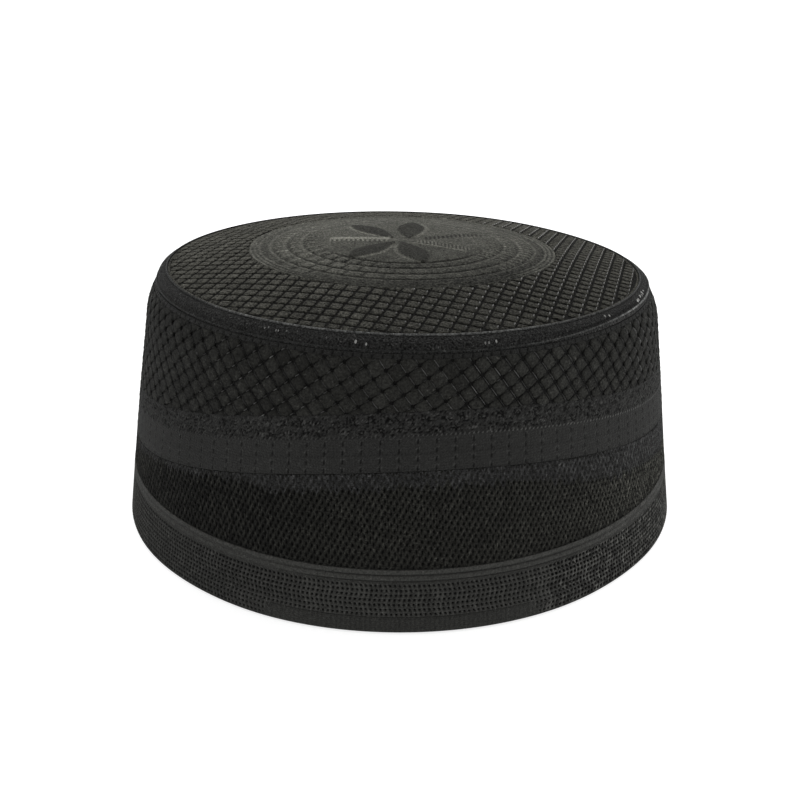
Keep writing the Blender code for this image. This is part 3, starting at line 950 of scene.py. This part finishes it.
def dressRings(radius, angle, lift, tone):
    inner, outer = medallion["rings"][0], medallion["rings"][-1]
    swing = swingOf(angle)
    sideways = ease(0.6, 0.95, np.abs(np.sin(angle)))
    ahead = ease(-0.1, 0.1, np.cos(angle))
    front = (1 - sideways) * ahead
    clear = 0.3 + 0.9 * bump(swing + 0.8, 0.6)    # bricks stand out best at the front left
    tone += 0.14 * (1 - ease(inner - 1.2, inner - 0.2, radius))
    for k, ring in enumerate(medallion["rings"]):    # a groove at each ring, with bricks standing between
        firm = 1 - 0.85 * sideways if k == 0 else 1 - 0.3 * bump(swing - 0.8, 0.5)
        # painted shade in each groove, darkest at the front, and a painted highlight along its outer side
        groove = bump(radius - ring + 0.35, 0.6) * firm * (0.3 + 0.7 * ahead)
        lift -= medallion["ringDepth"] * groove
        tone += 0.5 * firm * bump(radius - ring - 0.7, 0.55) - (0.5 + 0.5 * front) * groove
        between = hump(ring, ring + 0.5, ring + 4.2, ring + 4.7, radius)
        if ring == outer:    # past the last ring they show at the front left alone
            between *= 0.8 * bump(swing + 0.8, 0.4)
        cell = (angle * medallion["brickTurns"] / turn + 0.5 * k) % 1.0
        wide = radius * turn / medallion["brickTurns"]
        gap = bump(np.minimum(cell, 1 - cell) * wide, 0.55)
        bars = np.cos(2 * turn * cell) * sideways    # short bars lie across the bands at both sides
        lift -= medallion["brickDepth"] * between * (clear * gap - 0.3 * bars)
        tone += between * (clear * (0.45 - 1.2 * gap) + 0.6 * bars)
    # in front the innermost and outermost bands are darker and full of flecks
    dull = front * (0.27 * bump(radius - 29.7, 2.0) + 0.34 * ease(42.2, 43.0, radius))
    outward = 0.25 * ease(30.0, 36.0, radius) + 0.08 * ease(42.0, 43.0, radius)
    dull = dull + outward * bump(swing - 0.75, 0.5)
    tone += shuffle.uniform(-1, 1.2, tone.shape) * (0.2 + 0.6 * dull + 0.25 * sideways) - dull
    tone -= 0.3 * hump(42.4, 43.2, 44.9, 45.6, radius) * sideways
    # painted highlight and shade: the raised edge rings get a light line and a dark side, strongest at the
    # left and the right
    bright = bump(swing + 1.15, 0.3) + hump(0.7, 0.95, 1.7, 2.2, swing)
    for ring in medallion["edgeRings"]:
        lift += 0.2 * bump(radius - ring, 0.45)
        line = 0.8 * bump(radius - ring, 0.4) - 0.6 * bump(radius - ring + 0.7, 0.35)
        tone += line * (0.15 + 0.85 * bright)


def dressRosette(x, y, lift, tone):
    ground = 1 - ease(24.0, 27.0, np.hypot(x, y))
    # painted sheen: the ground is painted lighter behind, where the crown catches the light at a grazing
    # angle
    tone -= 0.2 * ground * ease(0.0, -12.0, y)    # the rosette's ground is lighter behind than in front
    for petal in petals:
        fromX, fromY = x - petal["foot"][0], y - petal["foot"][1]
        distance, heading = np.hypot(fromX, fromY), np.arctan2(fromY, fromX)
        swing = heading - math.radians(petal["heading"])
        along = distance * np.cos(swing) / petal["length"]
        span = np.clip(along, 0.0, 1.0)
        half = petal["half"] * np.sin(math.pi * span ** 1.25) ** 0.8 + 1e-6
        across = distance * np.sin(swing)
        within = (along > 0.03) & (along < 1)
        full = np.where(within, np.sqrt(np.clip(1 - (across / half) ** 2, 0, 1)), 0.0)
        inside = ease(0.0, 0.65, full)
        edge = across - petal["lightSide"] * (half + 0.5)
        outline = bump(edge, 0.75) * hump(0.05, 0.3, 0.85, 1.02, along)
        lift += inside * medallion["petalHeight"] * full + 0.12 * outline
        # the petals are painted dark, partly painted shade of satin stitches that lie away from the light
        tone += inside * (shuffle.uniform(0.28, 0.66, tone.shape) - tone) + 0.9 * outline
    (left, right), (front, back) = medallion["centreBar"]
    bar = hump(left, left + 0.8, right - 0.8, right, x) * hump(front, front + 0.6, back - 0.6, back, y)
    tone += bar * (1.5 - tone)


def dressCombs(x, y, lift, tone):
    for comb in combs:
        (startX, startY), (endX, endY) = comb["start"], comb["end"]
        length = math.hypot(endX - startX, endY - startY)
        dirX, dirY = (endX - startX) / length, (endY - startY) / length
        along = (x - startX) * dirX + (y - startY) * dirY
        across = (y - startY) * dirX - (x - startX) * dirY
        within = hump(-0.6, 0.6, length - 0.6, length + 0.6, along)
        solid, teeth = (within * hump(low - 0.3, low + 0.3, high - 0.3, high + 0.3, across)
                        for low, high in (comb["solid"], comb["teeth"]))
        wave = 0.5 + 0.5 * np.cos((x - startX) * turn / comb["pitch"])    # the teeth all point backwards
        lift += 0.15 * solid + 0.15 * teeth * wave
        tone += teeth * (comb["dark"] + (comb["light"] - comb["dark"]) * wave - tone)
        tone += solid * (comb["light"] - tone)


def buildMedallion():
    material = knitMaterial("medallionKnit", medallion["look"])
    count, outer = medallion["count"], medallion["radius"]
    radii = np.concatenate([[outer, outer - 0.15], np.linspace(outer - 0.5, 27.6, 58),
                            np.linspace(27.2, 0.05, 76)])
    radius, angle = np.meshgrid(radii, anglesOf(count), indexing="ij")
    x = medallion["centre"][0] + radius * np.sin(angle)
    y = medallion["centre"][1] - medallion["innerShift"] * (outer - radius) - radius * np.cos(angle)
    lift, tone = 0 * x + medallion["base"], 1.0 + 0 * x
    dressRings(radius, angle, lift, tone)
    dressRosette(x, y, lift, tone)
    dressCombs(x, y, lift, tone)
    lift[0] = -0.7    # the rim is tucked under the net
    points = crownPoint(x.ravel(), y.ravel(), lift.ravel())
    # painted sheen: the medallion is painted lighter towards the back and towards the left
    tone = np.maximum(tone, 0.15) * (1 + top["backSheen"] * y) * (0.96 + 0.13 * ease(0, 35, -x))
    cloth = np.stack([x.ravel(), y.ravel(), tone.ravel()], -1)
    part = (points, gridFaces(len(radii), count, True), cloth)
    addPiece("top_panel_medallion", "top_panel", material, [part])


# Floor, light and camera
studio = {
    "worldStrength": 1.0, "floorColour": (0.4, 0.4, 0.4), "floorGlow": 0.72,
    "focalPixels": 1264.3, "framePixels": 800, "cameraPlace": (0.0, -0.39276, 0.20284), "cameraDown": 23.5,
    "lamps": (    # place, size, watts
        {"name": "backTop", "place": (0.0, 0.9, 1.1), "size": 1.2, "power": 14.0},
        {"name": "leftSide", "place": (-1.1, 0.1, 0.6), "size": 0.9, "power": 0.4},
        {"name": "rightSide", "place": (1.1, 0.1, 0.6), "size": 0.9, "power": 3.0},
    ),
}


def buildStudio():
    scene = bpy.context.scene
    scene.view_settings.view_transform = "Standard"
    bpy.ops.mesh.primitive_plane_add(size=6.0, location=(0, 0, -0.0005))
    floor = bpy.context.object
    floor.name = "floor"
    material = bpy.data.materials.new("paleFloor")
    material.use_nodes = True
    shader = material.node_tree.nodes["Principled BSDF"]
    shader.inputs["Base Color"].default_value = (*studio["floorColour"], 1.0)
    shader.inputs["Roughness"].default_value = 0.9
    shader.inputs["Emission Color"].default_value = (1, 1, 1, 1)
    shader.inputs["Emission Strength"].default_value = studio["floorGlow"]
    floor.data.materials.append(material)
    world = bpy.data.worlds.new("studioWhite")
    world.use_nodes = True
    background = world.node_tree.nodes["Background"]
    background.inputs["Color"].default_value = (1, 1, 1, 1)
    background.inputs["Strength"].default_value = studio["worldStrength"]
    scene.world = world
    for lamp in studio["lamps"]:
        light = bpy.data.lights.new(lamp["name"], "AREA")
        light.size, light.energy = lamp["size"], lamp["power"]
        holder = bpy.data.objects.new(lamp["name"], light)
        holder.location = lamp["place"]
        direction = holder.location.copy()
        direction.z -= 0.05
        holder.rotation_mode = "QUATERNION"
        holder.rotation_quaternion = direction.to_track_quat("Z", "Y")
        scene.collection.objects.link(holder)
    lens = bpy.data.cameras.new("camera")
    lens.sensor_width = 36.0
    lens.lens = studio["focalPixels"] / studio["framePixels"] * lens.sensor_width
    lens.clip_start, lens.clip_end = 0.01, 20.0
    camera = bpy.data.objects.new("camera", lens)
    camera.location = studio["cameraPlace"]
    camera.rotation_euler = (math.radians(90 - studio["cameraDown"]), 0, 0)
    scene.collection.objects.link(camera)
    scene.camera = camera


for stage, build in (("hem band", buildHem), ("mesh band", buildMeshBand), ("side band", buildSideBand),
                     ("piping", buildPiping), ("top panel net", buildTopNet), ("medallion", buildMedallion),
                     ("studio", buildStudio)):
    print(stage)
    build()
